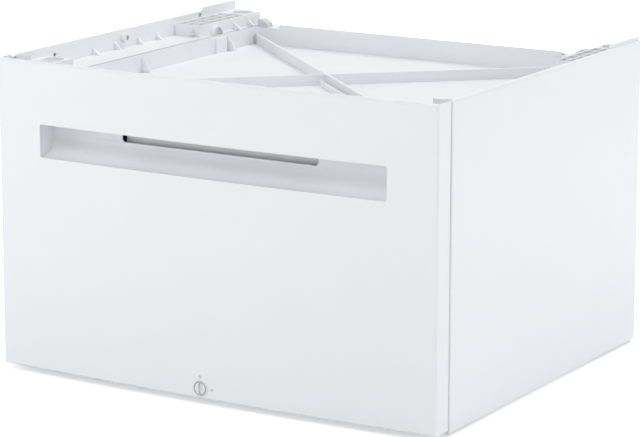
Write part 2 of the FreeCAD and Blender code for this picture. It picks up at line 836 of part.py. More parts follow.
def drawer_buffers():
    """Rubber stops between the drawer front and the cabinet's front edges."""
    pieces = []
    for z in (front_bottom + buffer_low, front_bottom + buffer_high):
        start = (half_width - buffer_side_inset, front_back_y, z)
        stop = cylinder(start, buffer_radius, front_gap - run_gap, (0, 1, 0))
        pieces += both_sides(stop.makeChamfer(front_gap / 4, [stop.Edges[0]]))
    edge_x = half_width - sheet
    corner_top = front_top - front_fold
    pieces += both_sides(box(edge_x - corner_stop_thickness, edge_x, front_back_y - corner_stop_reach,
                             cabinet_y - run_gap, corner_top - corner_stop_height, corner_top))
    return Part.makeCompound(pieces)


# Drawer runners
ball_gap = ball_diameter + 2 * run_gap
outer_half = runner_height / 2
middle_half = outer_half - runner_sheet - ball_gap
inner_half = middle_half - runner_sheet - ball_gap
cage_web_gap = cage_sheet + 2 * run_gap
outer_lip_x = post_inner_x - outer_member_depth
middle_web_x = post_inner_x - runner_sheet - cage_web_gap
inner_tip_x = middle_web_x - runner_sheet - cage_web_gap - run_gap
outer_ball_x = (outer_lip_x + middle_web_x) / 2
inner_ball_x = (outer_lip_x + inner_tip_x) / 2
runner_y = cabinet_y + runner_start


def rivet_ys():
    return [y + post_depth / 2 for y in post_ys().values()]


def inner_rivet_ys():
    return [along(share, runner_y, runner_y + inner_member_length) for share in drawer_rivet_shares]


def outer_member():
    member = channel(outer_lip_x, post_inner_x, runner_y, runner_y + outer_member_length,
                     runner_z - outer_half, runner_z + outer_half, runner_sheet, "x0")
    for y in rivet_ys():
        member = member.cut(cylinder((outer_lip_x, y, runner_z), rivet_radius + fit_gap,
                                     outer_member_depth + overrun, (1, 0, 0)))
    return member


def middle_member():
    return channel(outer_lip_x, middle_web_x, runner_y, runner_y + middle_member_length,
                   runner_z - middle_half, runner_z + middle_half, runner_sheet, "x0")


def inner_member():
    member = channel(drawer_outer_x, inner_tip_x, runner_y, runner_y + inner_member_length,
                     runner_z - inner_half, runner_z + inner_half, runner_sheet, "x1")
    for y in inner_rivet_ys():
        member = member.cut(cylinder((drawer_outer_x - overrun, y, runner_z), rivet_radius + fit_gap,
                                     2 * overrun, (1, 0, 0)))
    return member


def ball_places(ball_x, half):
    """Ball centres of one cage: a row above and a row below the runner's middle."""
    pitch = cage_length / balls_per_row
    height = half - runner_sheet - ball_gap / 2
    start = cabinet_y + cage_start
    return [(ball_x, start + (step + middle_share) * pitch, runner_z + side * height)
            for step in range(balls_per_row) for side in (-1, 1)]


def ball_set(ball_x, half):
    """The balls of the left and right cages, as separate spheres."""
    balls = []
    for place in ball_places(ball_x, half):
        balls += both_sides(Part.makeSphere(ball_diameter / 2, Vector(*place)))
    return Part.makeCompound(balls)


def ball_cage(web_x, ball_x, half):
    """A thin folded strip that keeps a runner's balls apart."""
    height = half - runner_sheet - ball_gap / 2
    start = cabinet_y + cage_start
    arm_half = height + cage_sheet / 2
    cage = channel(ball_x - ball_diameter / 2, web_x, start, start + cage_length, runner_z - arm_half,
                   runner_z + arm_half, cage_sheet, "x0")
    holes = [cylinder((x, y, z - ball_diameter), ball_diameter / 2 + run_gap, 2 * ball_diameter, (0, 0, 1))
             for x, y, z in ball_places(ball_x, half)]
    return cage.cut(Part.makeCompound(holes))


def runner_rivets():
    """Rivets flush in the outer members, with their heads inside the posts."""
    rivets = []
    web_inner = post_inner_x - runner_sheet
    post_face = post_inner_x + frame_sheet
    for y in rivet_ys():
        shank = cylinder((web_inner, y, runner_z), rivet_radius, post_face - web_inner, (1, 0, 0))
        head = cylinder((post_face, y, runner_z), rivet_head_radius, rivet_head_height, (1, 0, 0))
        rivets += both_sides(fuse([shank, head]))
    return Part.makeCompound(rivets)


def drawer_rivets():
    """Rivets flush in the inner members, with their heads inside the drawer."""
    rivets = []
    web_inner = drawer_outer_x + runner_sheet
    for y in inner_rivet_ys():
        shank = cylinder((web_inner, y, runner_z), rivet_radius, web_inner - drawer_inner_x, (-1, 0, 0))
        head = cylinder((drawer_inner_x, y, runner_z), rivet_head_radius, rivet_head_height, (-1, 0, 0))
        rivets += both_sides(fuse([shank, head]))
    return Part.makeCompound(rivets)


def drilled_post(y0):
    upright = post(y0)
    for y in rivet_ys():
        upright = upright.cut(cylinder((post_inner_x - overrun, y, runner_z), rivet_radius + fit_gap,
                                       frame_sheet + 2 * overrun, (1, 0, 0)))
    return upright


# Coin lock
def lock_housing():
    back = lock_back_depth() + lock_tail
    body = fuse([cylinder(lock_point(-lock_proud), lock_bezel_radius, lock_proud, (0, 1, 0)),
                 cylinder(lock_point(0), lock_neck_radius, 2 * lock_disc_depth, (0, 1, 0)),
                 cylinder(lock_point(0), lock_body_radius, back, (0, 1, 0))])
    body = body.cut(cylinder(lock_point(-lock_proud - overrun), lock_disc_radius + run_gap,
                             lock_proud + overrun + lock_disc_depth + run_gap, (0, 1, 0)))
    return body.cut(cylinder(lock_point(0), lock_shaft_radius + fit_gap, back + overrun, (0, 1, 0)))


def lock_nut():
    nut = hexagon(lock_point(lock_back_depth()), lock_nut_width, lock_nut_height, (0, 1, 0))
    return nut.cut(cylinder(lock_point(0), lock_body_radius, lock_back_depth() + 2 * lock_tail, (0, 1, 0)))


def cam_depth():
    return lock_back_depth() + lock_tail + run_gap


def lock_barrel():
    disc_height = lock_proud + lock_disc_depth
    flange_start = lock_point(lock_disc_depth - lock_disc_flange)
    face = lock_point(-lock_proud)
    barrel = fuse([cylinder(face, lock_disc_radius - lock_groove, disc_height, (0, 1, 0)),
                   cylinder(flange_start, lock_disc_radius, lock_disc_flange, (0, 1, 0)),
                   cylinder(lock_point(0), lock_shaft_radius, cam_depth(), (0, 1, 0)),
                   cylinder(lock_point(0), cam_boss_radius, cam_depth() + cam_thickness, (0, 1, 0))])
    slot = box(face[0] - coin_slot_width / 2, face[0] + coin_slot_width / 2, face[1] - overrun,
               face[1] + coin_slot_depth, face[2] - coin_slot_length / 2, face[2] + coin_slot_length / 2)
    barrel = barrel.cut(slot)
    tapped = cylinder(lock_point(cam_depth() - screw_length), cam_screw_radius, screw_length + overrun,
                      (0, 1, 0))
    return barrel.cut(tapped)


def lock_cam():
    """A lever that points up when the drawer is free and turns to the right behind its keeper."""
    x, y, z = lock_point(cam_depth())
    lever = box(x - cam_width / 2, x + cam_width / 2, y, y + cam_thickness, z, z + cam_length)
    edges = [edge for edge in lever.Edges if edge.BoundBox.ZMin > z + cam_width]
    across = [edge for edge in edges if edge.BoundBox.YLength > cam_thickness / 2]
    lever = lever.makeFillet(cam_width / 3, across)
    lever = fuse([lever, cylinder((x, y, z), cam_width / 2, cam_thickness, (0, 1, 0))])
    return lever.cut(cylinder((x, y - overrun, z), cam_boss_radius, cam_thickness + 2 * overrun, (0, 1, 0)))


def lock_cam_screw():
    seat = lock_point(cam_depth() + cam_thickness)
    head = cylinder(seat, cam_screw_head_radius, cam_screw_head_height, (0, 1, 0))
    return fuse([head, cylinder(seat, cam_screw_radius, screw_length, (0, -1, 0))])


def keeper_span():
    x0 = lock_offset + keeper_start
    return x0, x0 + keeper_width


def keeper_screw_seats():
    x0, x1 = keeper_span()
    z = along(keeper_screw_share, lock_z - keeper_reach, lock_z - keeper_reach + keeper_plate_height)
    return [((x0 + x1) / 2, front_cross_y() - frame_sheet, z)]


def lock_keeper():
    x0, x1 = keeper_span()
    low = lock_z - keeper_reach
    lip_y = front_back_y + (lock_tail + run_gap - frame_sheet) / 2
    face_y = front_cross_y()
    keeper = fuse([box(x0, x1, lip_y, lip_y + frame_sheet, low, lock_z + keeper_reach),
                   box(x0, x1, lip_y, face_y, low, low + frame_sheet),
                   box(x0, x1, face_y - frame_sheet, face_y, low, low + keeper_plate_height)])
    for seat in keeper_screw_seats():
        keeper = keeper.cut(Part.makeCylinder(screw_radius + fit_gap, 2 * frame_sheet,
                                              Vector(*seat) - Vector(0, fit_gap, 0), Vector(0, 1, 0)))
    return keeper


def keeper_screws():
    return Part.makeCompound([screw(seat, (0, -1, 0), screw_length) for seat in keeper_screw_seats()])


# Levelling feet
def foot_pad(x, y):
    total_height = pad_height + pad_boss_height
    disc = cylinder((x, y, 0), pad_radius, pad_height, (0, 0, 1))
    disc = disc.makeChamfer(pad_chamfer, [edge for edge in disc.Edges if edge.BoundBox.ZMin > pad_chamfer])
    pad = fuse([disc, cylinder((x, y, 0), pad_boss_radius, total_height, (0, 0, 1))])
    return pad.cut(cylinder((x, y, stem_seat), stem_radius + fit_gap, total_height, (0, 0, 1)))


def foot_stem(x, y):
    hex_z = pad_height + pad_boss_height + run_gap
    return fuse([cylinder((x, y, stem_seat + fit_gap), stem_radius, stem_height - stem_seat, (0, 0, 1)),
                 hexagon((x, y, hex_z), stem_hex_width, stem_hex_height, (0, 0, 1))])


def foot_nuts(z0, thickness):
    nuts = []
    for y in foot_ys:
        nut = hexagon((foot_x, y, z0), foot_nut_width, thickness, (0, 0, 1))
        nut = nut.cut(cylinder((foot_x, y, z0 - overrun), stem_radius + fit_gap, thickness + 2 * overrun,
                               (0, 0, 1)))
        nuts += both_sides(nut)
    return Part.makeCompound(nuts)


# Cabinet
save_pair("side_panel", side_panel())
save("rear_panel", rear_panel())
save("rear_panel_screws", rear_panel_screws())
save("top_tray", top_tray())
save_pair("foot_rail", foot_rail())
save("rail_screws", rail_screws())
save("rear_clips", rear_clips())
for place, y in post_ys().items():
    save_pair(place + "_post", drilled_post(y))
save_pair("base_rail", base_rail())
save("front_cross_rail", front_cross_rail())
save("rear_cross_rail", rear_cross_rail())
save("front_top_rail", top_cross_rail(post_ys()["front"], "y1"))
save("rear_top_rail", top_cross_rail(post_ys()["rear"] + post_depth - top_cross_depth, "y0"))
save("lock_keeper", lock_keeper())
save("keeper_screws", keeper_screws())

# Runners
save_pair("outer_runner", outer_member())
save_pair("middle_runner", middle_member())
save_pair("inner_runner", inner_member())
outer_cage_x = post_inner_x - runner_sheet - run_gap
inner_cage_x = middle_web_x - runner_sheet - run_gap
save_pair("outer_ball_cage", ball_cage(outer_cage_x, outer_ball_x, outer_half))
save("outer_balls", ball_set(outer_ball_x, outer_half))
save_pair("inner_ball_cage", ball_cage(inner_cage_x, inner_ball_x, middle_half))
save("inner_balls", ball_set(inner_ball_x, middle_half))
save("runner_rivets", runner_rivets())
save("drawer_rivets", drawer_rivets())

# Drawer
save("drawer_front_panel", drawer_front_panel())
save("drawer_inner_panel", drawer_inner_panel())
save("handle_trough", handle_trough())
save("grip_plate", grip_plate())
save("drawer_floor", drawer_floor())
save_pair("drawer_side", drawer_side())
save("drawer_back", drawer_back())
save("drawer_screws", drawer_screws())
save("drawer_buffers", drawer_buffers())

# Lock
save("lock_housing", lock_housing())
save("lock_nut", lock_nut())
save("lock_barrel", lock_barrel())
save("lock_cam", lock_cam())
save("lock_cam_screw", lock_cam_screw())

# Feet
for place, y in zip(("front", "rear"), foot_ys):
    save_pair(place + "_foot_pad", foot_pad(foot_x, y))
    save_pair(place + "_foot_stem", foot_stem(foot_x, y))
save("foot_lock_nuts", foot_nuts(base_z - lock_nut_thickness, lock_nut_thickness))
save("foot_weld_nuts", foot_nuts(base_z + base_sheet, weld_nut_thickness))
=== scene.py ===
"""Dresses the laundry pedestal: finishes, softened edges, screws, threads, light and camera. Metres."""
import json
import math

import bmesh
import bpy
from mathutils import Matrix, Vector


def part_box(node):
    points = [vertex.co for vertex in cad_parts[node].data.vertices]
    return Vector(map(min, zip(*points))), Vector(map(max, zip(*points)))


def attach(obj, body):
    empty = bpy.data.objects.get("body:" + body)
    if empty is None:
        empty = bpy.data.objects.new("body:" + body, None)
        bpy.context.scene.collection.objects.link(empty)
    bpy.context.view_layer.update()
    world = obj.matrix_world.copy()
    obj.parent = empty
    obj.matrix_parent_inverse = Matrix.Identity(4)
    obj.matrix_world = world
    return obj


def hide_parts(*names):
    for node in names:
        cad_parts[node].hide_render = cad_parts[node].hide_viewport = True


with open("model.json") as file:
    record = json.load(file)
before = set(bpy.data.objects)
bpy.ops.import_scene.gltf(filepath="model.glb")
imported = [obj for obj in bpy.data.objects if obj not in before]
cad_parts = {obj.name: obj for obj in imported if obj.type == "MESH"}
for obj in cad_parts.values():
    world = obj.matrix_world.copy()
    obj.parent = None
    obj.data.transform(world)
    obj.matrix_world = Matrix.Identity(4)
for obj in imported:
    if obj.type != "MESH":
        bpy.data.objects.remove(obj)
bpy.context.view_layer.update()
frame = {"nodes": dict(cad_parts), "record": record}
nodes = frame["nodes"]
scene = bpy.context.scene
scene.view_settings.view_transform = "Standard"
MM = 0.001
quarter_turn = 90
weld_distance = 0.002 * MM

# Node tree helpers
even_stretch = (1, 1, 1)
tint_shares = (0.3, 0.7)


def new_material(name):
    """A material with its node tree emptied down to a principled shader and its output."""
    made = bpy.data.materials.new(name)
    made.use_nodes = True
    tree = made.node_tree
    tree.nodes.clear()
    output = tree.nodes.new("ShaderNodeOutputMaterial")
    shader = tree.nodes.new("ShaderNodeBsdfPrincipled")
    tree.links.new(shader.outputs["BSDF"], output.inputs["Surface"])
    return made, tree, shader


def stretched_coordinates(tree, stretch):
    coordinates = tree.nodes.new("ShaderNodeTexCoord")
    mapping = tree.nodes.new("ShaderNodeMapping")
    mapping.inputs["Scale"].default_value = stretch
    tree.links.new(coordinates.outputs["Object"], mapping.inputs["Vector"])
    return mapping.outputs["Vector"]


def noise(tree, scale, detail, stretch=even_stretch):
    texture = tree.nodes.new("ShaderNodeTexNoise")
    texture.inputs["Scale"].default_value = scale
    texture.inputs["Detail"].default_value = detail
    tree.links.new(stretched_coordinates(tree, stretch), texture.inputs["Vector"])
    return texture.outputs["Fac"]


def crystals(tree, scale):
    """Cells that each have a brightness of their own."""
    texture = tree.nodes.new("ShaderNodeTexVoronoi")
    texture.inputs["Scale"].default_value = scale
    tree.links.new(stretched_coordinates(tree, even_stretch), texture.inputs["Vector"])
    channels = tree.nodes.new("ShaderNodeSeparateColor")
    tree.links.new(texture.outputs["Color"], channels.inputs["Color"])
    return channels.outputs["Red"]


def tint(tree, shader, factor, dark, light):
    """Lets a texture vary the colour between two tints."""
    ramp = tree.nodes.new("ShaderNodeValToRGB")
    for index, colour in enumerate((dark, light)):
        ramp.color_ramp.elements[index].position = tint_shares[index]
        ramp.color_ramp.elements[index].color = (*colour, 1)
    tree.links.new(factor, ramp.inputs["Fac"])
    tree.links.new(ramp.outputs["Color"], shader.inputs["Base Color"])


def roughen(tree, shader, factor, limits):
    """Lets a texture vary the roughness between two limits."""
    step = tree.nodes.new("ShaderNodeMapRange")
    step.inputs["To Min"].default_value = limits[0]
    step.inputs["To Max"].default_value = limits[1]
    tree.links.new(factor, step.inputs["Value"])
    tree.links.new(step.outputs["Result"], shader.inputs["Roughness"])


def bump(tree, shader, factor, height, strength):
    """Lets a texture raise the surface by up to a height."""
    step = tree.nodes.new("ShaderNodeBump")
    step.inputs["Distance"].default_value = height
    step.inputs["Strength"].default_value = strength
    tree.links.new(factor, step.inputs["Height"])
    tree.links.new(step.outputs["Normal"], shader.inputs["Normal"])


def scaled(values, factor):
    return tuple(value * factor for value in values)


# Baked enamel on sheet steel
enamel_cloud = {"scale": 9, "detail": 3}
enamel_gloss = {"scale": 60, "detail": 4}
enamel_peel = {"scale": 420, "detail": 2}
enamel_peel_height = 0.05 * MM
enamel_dark_share = 0.988
enamel_rough_shares = (0.9, 1.12)
enamel_specular = 0.45
enamel_coat = 0.15
enamel_coat_rough = 0.22


def enamel(name, colour, rough, peel):
    """Paint with a slight orange peel and uneven gloss."""
    made, tree, shader = new_material(name)
    tint(tree, shader, noise(tree, **enamel_cloud), scaled(colour, enamel_dark_share), colour)
    roughen(tree, shader, noise(tree, **enamel_gloss), scaled(enamel_rough_shares, rough))
    shader.inputs["Specular IOR Level"].default_value = enamel_specular
    shader.inputs["Coat Weight"].default_value = enamel_coat
    shader.inputs["Coat Roughness"].default_value = enamel_coat_rough
    bump(tree, shader, noise(tree, **enamel_peel), enamel_peel_height, peel)
    return made


# Moulded plastic
moulding_cloud = {"scale": 14, "detail": 5}
moulding_gloss = {"scale": 900, "detail": 3}
moulding_grain = {"scale": 1800, "detail": 3}
moulding_grain_height = 0.08 * MM
moulding_dark_share = 0.972
moulding_rough_shares = (0.88, 1.1)
moulding_specular = 0.4


def moulding(name, colour, rough, grain):
    """Plastic with a fine spark-eroded grain and faint flow clouds."""
    made, tree, shader = new_material(name)
    tint(tree, shader, noise(tree, **moulding_cloud), scaled(colour, moulding_dark_share), colour)
    roughen(tree, shader, noise(tree, **moulding_gloss), scaled(moulding_rough_shares, rough))
    shader.inputs["Specular IOR Level"].default_value = moulding_specular
    bump(tree, shader, noise(tree, **moulding_grain), moulding_grain_height, grain)
    return made


# Zinc-dipped sheet
spangle_scale = 240
spangle_dark_share = 0.94
spangle_rough = (0.4, 0.52)
zinc_flow = {"scale": 300, "detail": 4}
zinc_flow_height = 0.04 * MM
zinc_flow_strength = 0.3


def galvanised(name, colour):
    """Spangled zinc, whose crystals differ in brightness."""
    made, tree, shader = new_material(name)
    spangle = crystals(tree, spangle_scale)
    tint(tree, shader, spangle, scaled(colour, spangle_dark_share), colour)
    roughen(tree, shader, spangle, spangle_rough)
    shader.inputs["Metallic"].default_value = 1
    bump(tree, shader, noise(tree, **zinc_flow), zinc_flow_height, zinc_flow_strength)
    return made


# Roll-formed steel
drawn_lines = {"scale": 900, "detail": 4, "stretch": (1, 0.02, 1)}
drawn_line_height = 0.02 * MM
drawn_line_strength = 0.4
drawn_dark_share = 0.86
drawn_rough_shares = (0.8, 1.25)


def drawn_steel(name, colour, rough):
    """Steel with fine lines along its length."""
    made, tree, shader = new_material(name)
    lines = noise(tree, **drawn_lines)
    tint(tree, shader, lines, scaled(colour, drawn_dark_share), colour)
    roughen(tree, shader, lines, scaled(drawn_rough_shares, rough))
    shader.inputs["Metallic"].default_value = 1
    bump(tree, shader, lines, drawn_line_height, drawn_line_strength)
    return made


# Bright zinc plate
plate_cloud = {"scale": 220, "detail": 4}
plate_dark_share = 0.9
plate_rough_shares = (0.7, 1.4)


def plated_steel(name, colour, rough):
    """Plated steel with small clouds in its gloss."""
    made, tree, shader = new_material(name)
    cloud = noise(tree, **plate_cloud)
    tint(tree, shader, cloud, scaled(colour, plate_dark_share), colour)
    roughen(tree, shader, cloud, scaled(plate_rough_shares, rough))
    shader.inputs["Metallic"].default_value = 1
    return made


# Rubber
rubber_dust = {"scale": 160, "detail": 6}
rubber_dust_light = 0.03
rubber_rough = (0.7, 0.92)
rubber_pits = {"scale": 1300, "detail": 4}
rubber_pit_height = 0.1 * MM
rubber_pit_strength = 0.35


def rubber(name, colour):
    """Matt rubber with a dusty, slightly pitted skin."""
    made, tree, shader = new_material(name)
    dust = noise(tree, **rubber_dust)
    tint(tree, shader, dust, colour, tuple(channel + rubber_dust_light for channel in colour))
    roughen(tree, shader, dust, rubber_rough)
    bump(tree, shader, noise(tree, **rubber_pits), rubber_pit_height, rubber_pit_strength)
    return made


# Finishes of the material slots, and of the nodes and marks that differ from their slot
finishes = {
    "white_enamel": enamel("white_enamel", (0.845, 0.85, 0.875), rough=0.34, peel=0.12),
    "white_moulding": moulding("white_moulding", (0.835, 0.84, 0.865), rough=0.48, grain=0.16),
    "drawer_enamel": enamel("drawer_enamel", (0.8, 0.8, 0.81), rough=0.45, peel=0.2),
    "galvanised_steel": galvanised("galvanised_steel", (0.62, 0.64, 0.66)),
    "runner_steel": drawn_steel("runner_steel", (0.66, 0.67, 0.69), rough=0.32),
    "bright_steel": plated_steel("bright_steel", (0.74, 0.74, 0.75), rough=0.26),
    "lock_plastic": moulding("lock_plastic", (0.78, 0.78, 0.79), rough=0.36, grain=0.1),
    "grey_plastic": moulding("grey_plastic", (0.62, 0.63, 0.65), rough=0.5, grain=0.2),
    "mark_grey": moulding("mark_grey", (0.56, 0.57, 0.59), rough=0.5, grain=0.1),
    "black_rubber": rubber("black_rubber", (0.025, 0.025, 0.027)),
    "grey_rubber": rubber("grey_rubber", (0.62, 0.625, 0.635)),
}
node_slots = {row["node"]: row["material_slot"] for row in frame["record"]["subparts"]}
node_finishes = {"drawer_buffers": "grey_rubber", "rail_screws": "lock_plastic"}

# Softened edges on the CAD pieces
edge_widths = {
    "white_enamel": 0.25 * MM,
    "white_moulding": 0.45 * MM,
    "drawer_enamel": 0.25 * MM,
    "galvanised_steel": 0.3 * MM,
    "runner_steel": 0.2 * MM,
    "bright_steel": 0.2 * MM,
    "lock_plastic": 0.3 * MM,
    "grey_plastic": 0.6 * MM,
    "black_rubber": 0.8 * MM,
}
edge_segments = 2
edge_angle = 40


def soften(piece, width):
    """Joins a piece's faces, rounds its sharp edges and evens its shading."""
    weld = piece.modifiers.new("weld", "WELD")
    weld.merge_threshold = weld_distance
    bevel = piece.modifiers.new("edges", "BEVEL")
    bevel.width = width
    bevel.segments = edge_segments
    bevel.limit_method = "ANGLE"
    bevel.angle_limit = math.radians(edge_angle)
    bevel.use_clamp_overlap = True
    shading = piece.modifiers.new("shading", "WEIGHTED_NORMAL")
    shading.keep_sharp = False


for node, piece in nodes.items():
    slot = node_slots[node]
    piece.data.materials.clear()
    piece.data.materials.append(finishes[node_finishes.get(node, slot)])
    soften(piece, edge_widths[slot])


# Added pieces
def add_piece(name, build, slot, body, replaced=(), finish=None):
    """Places a piece, whose mesh a function fills, with its finish and on its moving body."""
    mesh = bpy.data.meshes.new(name)
    work = bmesh.new()
    build(work)
    bmesh.ops.recalc_face_normals(work, faces=work.faces)
    work.to_mesh(mesh)
    work.free()
    piece = bpy.data.objects.new(name, mesh)
    scene.collection.objects.link(piece)
    mesh.materials.append(finishes[finish or slot])
    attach(piece, body)
    if replaced:
        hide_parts(*replaced)


def skin(work, rows, smooth):
    """Skins rings of points into a tube with closed ends."""
    rings = [[work.verts.new(point) for point in row] for row in rows]
    for low, high in zip(rings, rings[1:]):
        for index in range(len(low)):
            following = (index + 1) % len(low)
            face = work.faces.new((low[index], low[following], high[following], high[index]))
            face.smooth = smooth
    work.faces.new(rings[0])
    work.faces.new(rings[-1])


def ring_point(centre, radius, angle, height):
    return Vector((centre.x + radius * math.cos(angle), centre.y + radius * math.sin(angle), height))


def ring(centre, radius, height, sides):
    return [ring_point(centre, radius, math.tau * step / sides, height) for step in range(sides)]


def places_by_reach(points, centre, along, digits):
    """Lists the places of points along an axis, by their rounded distance from it in millimetres."""
    groups = {}
    for point in points:
        offset = point - centre
        offset[along] = 0
        groups.setdefault(round(offset.length / MM, digits), []).append(point[along])
    return groups


# Threaded stems of the levelling feet
thread_pitch = 1.5 * MM
thread_depth = 0.5 * MM
thread_sides = 32
rows_per_turn = 6
stem_chamfer = 1.2 * MM
stem_digits = 2
collar_chamfer = 0.5 * MM
collar_sides = 6
end_margin = 1 * MM
axis_margin = 1 * MM
up_axis = 2


def thread_row(centre, stem_radius, height, top):
    points = []
    for step in range(thread_sides):
        share = step / thread_sides
        turn = (height / thread_pitch - share) % 1
        radius = stem_radius - thread_depth * abs(2 * turn - 1)
        radius = min(radius, stem_radius - stem_chamfer + max(top - height, 0))
        points.append(ring_point(centre, radius, math.tau * share, height))
    return points


def stem_builder(node):
    """A screw thread cut along the stem, and its hexagonal collar, in place of the plain stem."""
    low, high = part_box(node)
    centre = (low + high) / 2
    points = [vertex.co for vertex in nodes[node].data.vertices]
    groups = places_by_reach(points, centre, up_axis, stem_digits)
    collar_radius = max(groups) * MM
    collar_low = min(groups[max(groups)])
    collar_high = max(groups[max(groups)])
    at_top = [reach * MM for reach, heights in groups.items() if max(heights) > high.z - end_margin]
    stem_radius = min(radius for radius in at_top if radius > axis_margin)

    def build(work):
        steps = round((high.z - low.z) / thread_pitch * rows_per_turn)
        heights = [low.z + (high.z - low.z) * step / steps for step in range(steps + 1)]
        skin(work, [thread_row(centre, stem_radius, height, high.z) for height in heights], True)
        edge = collar_radius - collar_chamfer
        levels = [(edge, collar_low), (collar_radius, collar_low + collar_chamfer),
                  (collar_radius, collar_high - collar_chamfer), (edge, collar_high)]
        skin(work, [ring(centre, radius, height, collar_sides) for radius, height in levels], False)

    return build


for place in ("front", "rear"):
    for side in ("left", "right"):
        node = f"{side}_{place}_foot_stem"
        body = f"{place}_{side}_stem"
        add_piece(f"{side}_{place}_stem_thread", stem_builder(node), "bright_steel", body, [node])

# Cross-recessed screws
head_rings = 12
head_sides = 48
cross_half_width = 0.45 * MM
cross_reach = 2.3 * MM
cross_depth = 1.1 * MM
dome_share = 0.8
screw_digits = 1
middle = Vector((0, 0))
screw_bodies = {"rear_panel_screws": "cabinet", "rail_screws": "cabinet", "keeper_screws": "cabinet",
                "drawer_screws": "drawer"}


def islands(node):
    """The separate solids of a node, each as a list of points."""
    work = bmesh.new()
    work.from_mesh(nodes[node].data)
    bmesh.ops.remove_doubles(work, verts=work.verts, dist=weld_distance)
    left = set(work.verts)
    found = []
    while left:
        open_ends = [left.pop()]
        group = []
        while open_ends:
            vertex = open_ends.pop()
            group.append(vertex.co.copy())
            for edge in vertex.link_edges:
                other = edge.other_vert(vertex)
                if other in left:
                    left.remove(other)
                    open_ends.append(other)
        found.append(group)
    work.free()
    return found


def screw_frame(points):
    """A screw's seat, axis, head radius, head height, shank radius and shank length."""
    low = Vector([min(point[axis] for point in points) for axis in range(3)])
    high = Vector([max(point[axis] for point in points) for axis in range(3)])
    centre = (low + high) / 2
    along = max(range(3), key=lambda axis: high[axis] - low[axis])
    groups = places_by_reach(points, centre, along, screw_digits)
    head_reach = max(groups)
    head_places = groups[head_reach]
    outward = 1 if sum(head_places) / len(head_places) > centre[along] else -1
    tip = low[along] if outward > 0 else high[along]
    seat = min(head_places) if outward > 0 else max(head_places)
    top = high[along] if outward > 0 else low[along]
    base = centre.copy()
    base[along] = seat
    axis = Vector((0, 0, 0))
    axis[along] = outward
    shank_radius = min(reach * MM for reach in groups if reach * MM > axis_margin)
    return base, axis, head_reach * MM, abs(top - seat), shank_radius, abs(seat - tip)


def head_height(across, up, radius, height):
    """The height of a pan head with a cross cut into it, at a place on its face."""
    reach = math.hypot(across, up)
    level = height * math.sqrt(1 - dome_share * (reach / radius) ** 2)
    arm = max(abs(across), abs(up))
    if min(abs(across), abs(up)) < cross_half_width and arm < cross_reach:
        level -= cross_depth * (1 - dome_share * arm / cross_reach)
    return level


def screws_builder(node):
    frames = [screw_frame(points) for points in islands(node)]

    def build(work):
        for base, axis, head_radius, height, shank_radius, shank_length in frames:
            turn = axis.to_track_quat("Z", "Y").to_matrix()
            rows = [ring(middle, shank_radius, -shank_length, head_sides),
                    ring(middle, shank_radius, 0, head_sides),
                    ring(middle, head_radius, 0, head_sides)]
            for step in range(head_rings):
                row = ring(middle, head_radius * (1 - step / head_rings), 0, head_sides)
                for point in row:
                    point.z = head_height(point.x, point.y, head_radius, height)
                rows.append(row)
            skin(work, [[base + turn @ point for point in row] for row in rows], True)

    return build


for node, body in screw_bodies.items():
    add_piece(node + "_cross", screws_builder(node), "bright_steel", body, [node], node_finishes.get(node))

# Two plain marks by the lock
mark_height = 0.12 * MM
mark_sides = 32
dot_radius = 1.9 * MM
dot_rise = 14.1 * MM
point_radius = 1.7 * MM
point_offset = 16.4 * MM


def lock_marks(work):
    low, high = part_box("lock_barrel")
    lock_middle = (low + high) / 2
    face_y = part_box("drawer_front_panel")[0].y
    dot_place = Vector((lock_middle.x, face_y, lock_middle.z + dot_rise))
    point_place = Vector((lock_middle.x + point_offset, face_y, lock_middle.z))
    turn = Matrix.Rotation(math.radians(quarter_turn), 3, "X")
    for radius, place in ((dot_radius, dot_place), (point_radius, point_place)):
        rows = [ring(middle, radius, 0, mark_sides),
                ring(middle, radius - mark_height, mark_height, mark_sides)]
        skin(work, [[place + turn @ point for point in row] for row in rows], False)


add_piece("lock_marks", lock_marks, "grey_plastic", "drawer", finish="mark_grey")

# Floor, backdrop light and lamps
floor_half = 12
floor_colour = (0.95, 0.95, 0.95, 1)
near_lift = 0.42
far_lift = 1
near_radius = 0.42
far_radius = 1.3
backdrop_colour = (1, 1, 1, 1)
ambient_colour = (0.965, 0.975, 1, 1)
ambient_sides = (("X", -1, 0.48), ("X", 1, 1.45), ("Y", -1, 0.5), ("Y", 1, 0.5), ("Z", 1, 0.34))
lamps = {
    "front_lamp": {"place": (-0.15, -1.8, 0.22), "target": (-0.05, -0.26, 0.12), "width": 0.8, "power": 1.4},
    "left_lamp": {"place": (-3.2, -1.6, 0.7), "target": (0, -0.2, 0.2), "width": 2, "power": 34},
    "steep_lamp": {"place": (-0.4, -1.7, 2.2), "target": (0, -0.2, 0.3), "width": 0.8, "power": 13.2},
    "top_lamp": {"place": (0.1, 1.1, 2.4), "target": (0, 0, 0.35), "width": 1.6, "power": 23.5},
    "right_lamp": {"place": (2.2, -0.2, 0.15), "target": (0.3, 0, 0.1), "width": 0.8, "power": 1.8},
}


def joined(tree, operation, first, second):
    """A sum, product or other result of two numbers in a node tree."""
    step = tree.nodes.new("ShaderNodeMath")
    step.operation = operation
    tree.links.new(first, step.inputs[0])
    tree.links.new(second, step.inputs[1])
    return step.outputs["Value"]


def seen_directly(tree):
    """1 for what the camera sees, straight or through a mirror or glass, and 0 for light on surfaces."""
    path = tree.nodes.new("ShaderNodeLightPath")
    first = joined(tree, "MAXIMUM", path.outputs["Is Camera Ray"], path.outputs["Is Glossy Ray"])
    return joined(tree, "MAXIMUM", first, path.outputs["Is Transmission Ray"])


